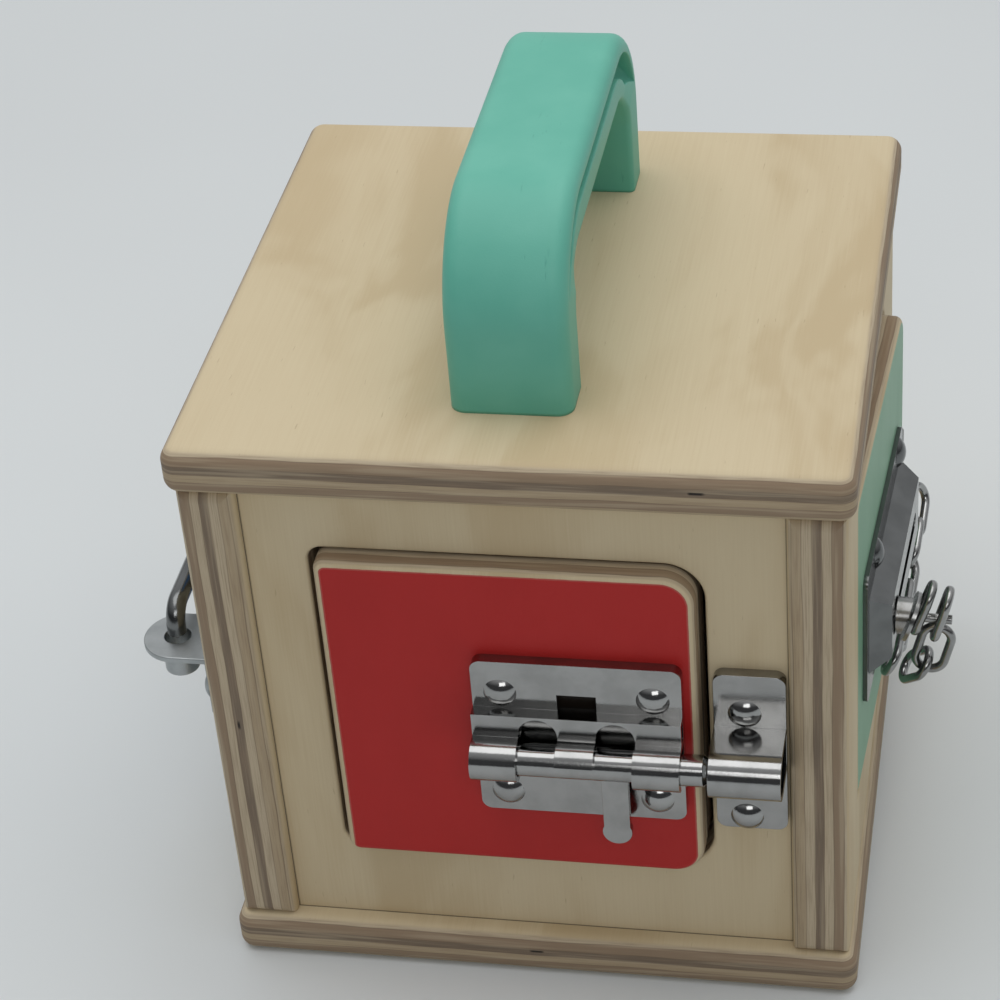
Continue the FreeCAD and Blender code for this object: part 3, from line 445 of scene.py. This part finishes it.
def painted_door(name, paint, line, turn, swing=0.0, painted_shade_box=None):
    """Plywood with a painted panel: the distance to a rounded rectangle says where the paint stops."""
    shift = pivot - Matrix.Rotation(swing, 3, "Z") @ pivot
    finish = Finish(name, Specular_IOR_Level=0.3)
    x, y, z = finish.place(turn + swing, tuple(shift))
    depth = y + door_face
    face_colour, fibre = veneer(finish, z, x, depth)
    edge_colour, streak = ply_edge(finish, depth, x + z, wall_plies)
    bare = finish.mix(depth.least(wall - depth).rise(0.25, 0.75), face_colour, edge_colour)
    half_wide = (paint_right - paint_left) / 2
    half_tall = (paint_top - paint_bottom) / 2
    free_side = (x - (paint_left + paint_right) / 2).rise(-1.0, 1.0)
    corner = free_side * (paint_round_free - paint_round_hinge) + paint_round_hinge
    reach_x = abs(x - (paint_left + paint_right) / 2) - half_wide + corner
    reach_z = abs(z - (paint_bottom + paint_top) / 2) - half_tall + corner
    beyond_x = reach_x.most(0.0)
    beyond_z = reach_z.most(0.0)
    wobble = finish.noise(x * 0.5, z * 0.5, 1.0, detail=2.0) * 0.16 - 0.08
    outside = (beyond_x * beyond_x + beyond_z * beyond_z).root() + reach_x.most(reach_z).least(0.0) - corner
    covered = (outside + wobble).rise(0.06, -0.06) * depth.rise(1.2, 1.0)
    edge_line = (outside + wobble).rise(-0.55, -0.2)
    mottle = finish.noise(x * 0.06, y, z * 0.03, detail=4.0)
    grit = finish.noise(x * 2.2, y, z * 2.2, detail=2.0)
    shade = finish.mix(mottle.rise(0.3, 0.8) * 0.35, paint, tuple(c * 0.82 for c in paint))
    shade = finish.mix(edge_line * 0.55, shade, line)
    # Painted shade: inside this box the face turns near-black, standing in for the shadow under the bolt plate.
    if painted_shade_box:
        left, right, foot, head = painted_shade_box
        painted_shade_inside_x = abs(x - (left + right) / 2).rise((right - left) / 2, (right - left) / 2 - 0.3)
        painted_shade_inside_z = abs(z - (foot + head) / 2).rise((head - foot) / 2, (head - foot) / 2 - 0.3)
        shade = finish.mix(painted_shade_inside_x * painted_shade_inside_z, shade, void_and_painted_shade_dark)
    gloss = 0.36 + mottle * 0.14
    height = grit * 0.3 * covered + fibre * 0.25 + streak * (1.0 - covered) * 0.3 + covered * 0.9
    finish.set(
        Base_Color=finish.mix(covered, bare, shade),
        Roughness=covered * (gloss - 0.62) + 0.62,
        Normal=finish.relief(height, 0.00008),
    )
    return finish.material


red = (0.47, 0.014, 0.012)
red_line = (0.50, 0.15, 0.12)
green = (0.20, 0.40, 0.25)
green_line = (0.40, 0.52, 0.36)
yellow = (0.70, 0.47, 0.07)
yellow_line = (0.74, 0.58, 0.25)
blue = (0.06, 0.20, 0.42)
blue_line = (0.25, 0.35, 0.48)
# Painted shade behind the bolt: a box on the red door's face (left, right, foot, head in mm) painted near-black
# for the shadow under the plate.
painted_shade_behind_bolt = (4.0, 25.0, 70.0, 97.0)
give("front_door", painted_door("red_door_paint", red, red_line, 0.0, painted_shade_box=painted_shade_behind_bolt))
give("right_door", painted_door("green_door_paint", green, green_line, -quarter, ajar))
give("back_door", painted_door("yellow_door_paint", yellow, yellow_line, 2 * quarter))
give("left_door", painted_door("blue_door_paint", blue, blue_line, quarter))


# Front: a barrel bolt of pressed and chromed steel. A round bolt with a tab slides in two guides on a plate
# that is screwed to the door, and its end goes into the loop of a strike that is screwed to the panel.
def metal(name, pale, dark, gloss, haze, pits):
    """Metal whose tone and gloss drift with one slow noise, with fine pits from another."""
    finish = Finish(name, Metallic=1.0)
    x, y, z = finish.place()
    cloud = finish.noise(x * 0.12, y * 0.12, z * 0.12, detail=4.0)
    pitting = finish.noise(x * 3.5, y * 3.5, z * 3.5, detail=2.0)
    return finish.set(
        Base_Color=finish.mix(cloud.rise(0.35, 0.7), pale, dark),
        Roughness=cloud * haze + gloss,
        Normal=finish.relief(pitting, pits),
    ).material


def soft_copy(name, node, body, width, material):
    """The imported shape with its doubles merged, its flat faces joined up and its sharp edges rounded over."""
    shape = bmesh.new()
    shape.from_mesh(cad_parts[node].data)
    bmesh.ops.remove_doubles(shape, verts=shape.verts, dist=2e-6)
    bmesh.ops.dissolve_limit(shape, angle_limit=math.radians(0.3), verts=shape.verts, edges=shape.edges)
    mesh = bpy.data.meshes.new(name)
    shape.to_mesh(mesh)
    shape.free()
    mesh.polygons.foreach_set("use_smooth", [True] * len(mesh.polygons))
    mesh.materials.clear()
    mesh.materials.append(material)
    made = bpy.data.objects.new(name, mesh)
    bpy.context.scene.collection.objects.link(made)
    bevel = made.modifiers.new("eased_edges", "BEVEL")
    bevel.width = width
    bevel.segments = 4
    bevel.limit_method = "ANGLE"
    bevel.angle_limit = math.radians(34)
    lay = made.modifiers.new("flat_faces_stay_flat", "WEIGHTED_NORMAL")
    lay.mode = "FACE_AREA"
    lay.weight = 100
    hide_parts(node)
    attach(made, body)
    return made


chrome = metal("bright_chrome", (0.37, 0.37, 0.365), (0.31, 0.31, 0.305), 0.06, 0.10, 0.000012)
soft_copy("bolt_carrier", "bolt_plate", "front_door", 0.48 * MM, chrome)
soft_copy("bolt_with_tab", "sliding_bolt", "sliding_bolt", 0.35 * MM, chrome)
soft_copy("strike", "strike_plate", "root", 0.48 * MM, chrome)
for node in ("bolt_plate_screws", "strike_screws"):
    give(node, chrome)


# Right: a door chain of nickelled steel. A button on welded wire links slides in the slot of a pressed track
# on the door, and the last link ends at the anchor plate, which is screwed to the wall.
nickel = metal("satin_nickel", (0.185, 0.19, 0.19), (0.15, 0.155, 0.155), 0.12, 0.14, 0.00002)
dark_nickel = metal("chain_nickel", (0.38, 0.38, 0.375), (0.27, 0.27, 0.265), 0.12, 0.14, 0.00002)
soft_copy("track_plate", "chain_track", "right_door", 0.35 * MM, nickel)
soft_copy("anchor_plate", "chain_anchor", "root", 0.3 * MM, nickel)
for node in ("chain_track_screws", "chain_anchor_screws"):
    give(node, nickel)
chain_nodes = [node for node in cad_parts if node.startswith("chain_link")]
for node in ("chain_button", "chain_ring", *chain_nodes):
    give(node, dark_nickel)


# Left: a cabin hook of bent steel wire on a zinc-plated plate with a headed pin, which is screwed to the
# door. It rests on the eye of an angled bracket, which is screwed to the wall.
zinc = metal("dull_zinc", (0.42, 0.44, 0.445), (0.34, 0.36, 0.365), 0.34, 0.16, 0.00003)
soft_copy("hook_plate", "hook_base", "left_door", 0.3 * MM, zinc)
soft_copy("eye_bracket", "hook_eye_plate", "root", 0.4 * MM, zinc)
for node in ("hook_base_screws", "hook_eye_screws"):
    give(node, zinc)
give("cabin_hook", nickel)


# Back: a zinc-plated turn button, a pressed bar that turns on the post of its plate and holds the door shut.
# The plate is screwed to the back panel.
soft_copy("button_plate", "turn_button_plate", "root", 0.3 * MM, zinc)
soft_copy("button_bar", "turn_button", "turn_button", 0.5 * MM, zinc)
give("turn_button_screws", zinc)


# Inside: plain steel pins that the four doors turn on, and the screws and washers that hold the handle. All
# are out of sight while the doors are shut.
steel = metal("plain_steel", (0.45, 0.45, 0.45), (0.35, 0.35, 0.35), 0.30, 0.15, 0.00003)
hinge_pins = ("front_hinge_pins", "right_hinge_pins", "back_hinge_pins", "left_hinge_pins")
for node in hinge_pins + ("handle_screws", "handle_washers"):
    give(node, steel)


# The handle is one moulding of teal plastic: an outer shell over an inner flange, with a groove between them
# along each side that runs out to a point on the legs. It is screwed up from inside through the lid.
def moulding(name, points, material):
    """A closed bar from a grid of points: each row is one section, joined round and to the next row."""
    rows, columns, _ = points.shape
    index = np.arange(rows * columns).reshape(rows, columns)
    above, below = index[:-1], index[1:]
    corners = [above, np.roll(above, -1, axis=1), np.roll(below, -1, axis=1), below]
    faces = np.stack(corners, axis=-1).reshape(-1, 4).tolist()
    faces.append(index[0][::-1].tolist())
    faces.append(index[-1].tolist())
    mesh = bpy.data.meshes.new(name)
    mesh.from_pydata(points.reshape(-1, 3).tolist(), [], faces)
    mesh.validate()
    mesh.materials.append(material)
    mesh.polygons.foreach_set("use_smooth", [len(face) == 4 for face in faces])
    made = bpy.data.objects.new(name, mesh)
    bpy.context.scene.collection.objects.link(made)
    return made


handle_low, handle_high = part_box("handle")
handle_middle = (handle_low.x + handle_high.x) / 2
handle_half_width = (handle_high.x - handle_low.x) / 2
handle_half_span = (handle_high.y - handle_low.y) / 2
handle_bend = 28.0 * MM
hand_bend = 13.0 * MM
flange_bend = 21.0 * MM
leg_thickness = 14.0 * MM
top_thickness = 17.4 * MM
shell_thickness = 4.6 * MM
groove_width = 5.5 * MM


def arch_depth(inward, across, down, bend):
    """How far below the outside of a bend an inner arch lies.

    The inner arch stands off by one distance at the legs and another at the top, and has a bend of its own.
    The depth is the outer radius less the distance along the ray from the outer centre to the inner circle.
    """
    offset = np.array([across + bend - handle_bend, handle_bend - down - bend])
    towards = -inward @ offset
    reach = towards + np.sqrt(towards**2 - offset @ offset + bend**2)
    return handle_bend - reach


def handle_stations(leg_steps, bend_steps, top_steps):
    """Places along the outside of the arch: the spot, the way in, and the depths to flange and hand space.

    A straight leg, a quarter turn and half of the straight top, and then the mirror image of them all.
    """
    centre_y = handle_half_span - handle_bend
    centre_z = handle_high.z - handle_bend
    leg_z = np.linspace(handle_low.z, centre_z, leg_steps, endpoint=False)
    leg = np.stack([np.full_like(leg_z, -handle_half_span), leg_z], axis=1)
    leg_in = np.tile([1.0, 0.0], (leg_steps, 1))
    turn = np.linspace(0.0, math.pi / 2, bend_steps)
    bend_in = np.stack([np.cos(turn), -np.sin(turn)], axis=1)
    bend = np.array([-centre_y, centre_z]) - handle_bend * bend_in
    top_y = np.linspace(-centre_y, 0.0, top_steps + 1)[1:]
    top = np.stack([top_y, np.full_like(top_y, handle_high.z)], axis=1)
    top_in = np.tile([0.0, -1.0], (top_steps, 1))
    flange = shell_thickness + groove_width
    to_flange = [np.full(leg_steps, flange), arch_depth(bend_in, flange, flange, flange_bend)]
    to_flange = np.concatenate(to_flange + [np.full(top_steps, flange)])
    hand_in_bend = arch_depth(bend_in, leg_thickness, top_thickness, hand_bend)
    to_hand = [np.full(leg_steps, leg_thickness), hand_in_bend, np.full(top_steps, top_thickness)]
    to_hand = np.concatenate(to_hand)
    spots = np.concatenate([leg, bend, top])
    inward = np.concatenate([leg_in, bend_in, top_in])
    mirror = slice(-2, None, -1)
    spots = np.concatenate([spots, spots[mirror] * [-1, 1]])
    inward = np.concatenate([inward, inward[mirror] * [-1, 1]])
    to_flange = np.concatenate([to_flange, to_flange[mirror]])
    to_hand = np.concatenate([to_hand, to_hand[mirror]])
    return spots, inward, to_flange, to_hand


def quarter_round(steps):
    """Fractions of a quarter circle, as the way along from 0 to 1 and the way down from 0 to 1."""
    angle = np.linspace(0.0, math.pi / 2, steps)
    return np.sin(angle), 1.0 - np.cos(angle)


def handle_section(groove, flange, thick):
    """Half of the section at every station: from the middle of the outside, round the edge, into and out of
    the groove, and round the flange to the middle of the inside. Columns are points, rows are stations."""
    round_out = 3.8 * MM
    round_in = 1.5 * MM
    shell = shell_thickness
    depth = 6.0 * MM * groove
    inset = 0.8 * MM * groove
    foot = shell + (flange - shell) * groove
    lip = 0.35 * MM
    half = handle_half_width
    x = [np.full_like(thick, half * share) for share in (0.0, 0.25, 0.5, 0.7)]
    n = [np.full_like(thick, 0.0)] * 4
    for along, down in zip(*quarter_round(7)):
        x.append(np.full_like(thick, half - round_out + along * round_out))
        n.append(np.full_like(thick, down * round_out))
    for along, down in zip(*quarter_round(4)):
        x.append(half - down * lip * groove)
        n.append(np.full_like(thick, shell - lip + along * lip))
    for share in (0.35, 0.7, 0.93):
        x.append(half - depth * share)
        n.append(np.full_like(thick, shell))
    for share in (0.12, 0.5, 0.88):
        x.append(half - depth)
        n.append(shell + (foot - shell) * share)
    for share in (0.93, 0.75, 0.5):
        x.append(half - inset - (depth - inset) * share)
        n.append(foot)
    for along, down in zip(*quarter_round(4)):
        x.append(half - inset - lip * groove * (1 - along))
        n.append(foot + down * lip * 1.6)
    for along, down in zip(*quarter_round(5)):
        x.append(half - inset - down * round_in)
        n.append(thick - round_in + along * round_in)
    for share in (0.6, 0.3, 0.0):
        x.append(np.full_like(thick, half * share))
        n.append(thick)
    return np.stack(x, axis=1), np.stack(n, axis=1)


spots, inward, to_flange, to_hand = handle_stations(26, 40, 26)
groove_start = 187.0 * MM
groove_full = 197.0 * MM
groove_along = np.clip((spots[:, 1] - groove_start) / (groove_full - groove_start), 0.0, 1.0)
groove_share = groove_along**0.8
section_x, section_n = handle_section(groove_share, to_flange, to_hand)
section_x = np.concatenate([section_x, -section_x[:, -2:0:-1]], axis=1)
section_n = np.concatenate([section_n, section_n[:, -2:0:-1]], axis=1)
handle_points = np.empty(section_x.shape + (3,))
handle_points[..., 0] = handle_middle + section_x
handle_points[..., 1] = spots[:, None, 0] + inward[:, None, 0] * section_n
handle_points[..., 2] = spots[:, None, 1] + inward[:, None, 1] * section_n

teal = Finish("teal_plastic", Specular_IOR_Level=0.4)
teal_x, teal_y, teal_z = teal.place()
scuff_cloud = teal.noise(teal_x * 0.05, teal_y * 0.05, teal_z * 0.05, detail=4.0)
scratches = teal.noise(teal_x * 0.9, teal_y * 0.12, teal_z * 0.12, detail=3.0).rise(0.66, 0.74)
scratches = scratches * teal.noise(teal_x * 0.06, teal_y * 0.06, teal_z * 0.06, detail=1.0).rise(0.5, 0.62)
grain = teal.noise(teal_x * 3.0, teal_y * 3.0, teal_z * 3.0, detail=2.0)
teal_colour = teal.mix(scuff_cloud.rise(0.3, 0.75), (0.125, 0.470, 0.360), (0.155, 0.510, 0.395))
teal_colour = teal.mix(scratches * 0.35, teal_colour, (0.05, 0.28, 0.22))
teal.set(
    Base_Color=teal_colour,
    Roughness=scuff_cloud * 0.16 + 0.38,
    Normal=teal.relief(grain * 0.4 - scratches * 0.6, 0.00005),
)
handle_piece = moulding("carrying_handle", handle_points, teal.material)
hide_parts("handle")
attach(handle_piece, "root")
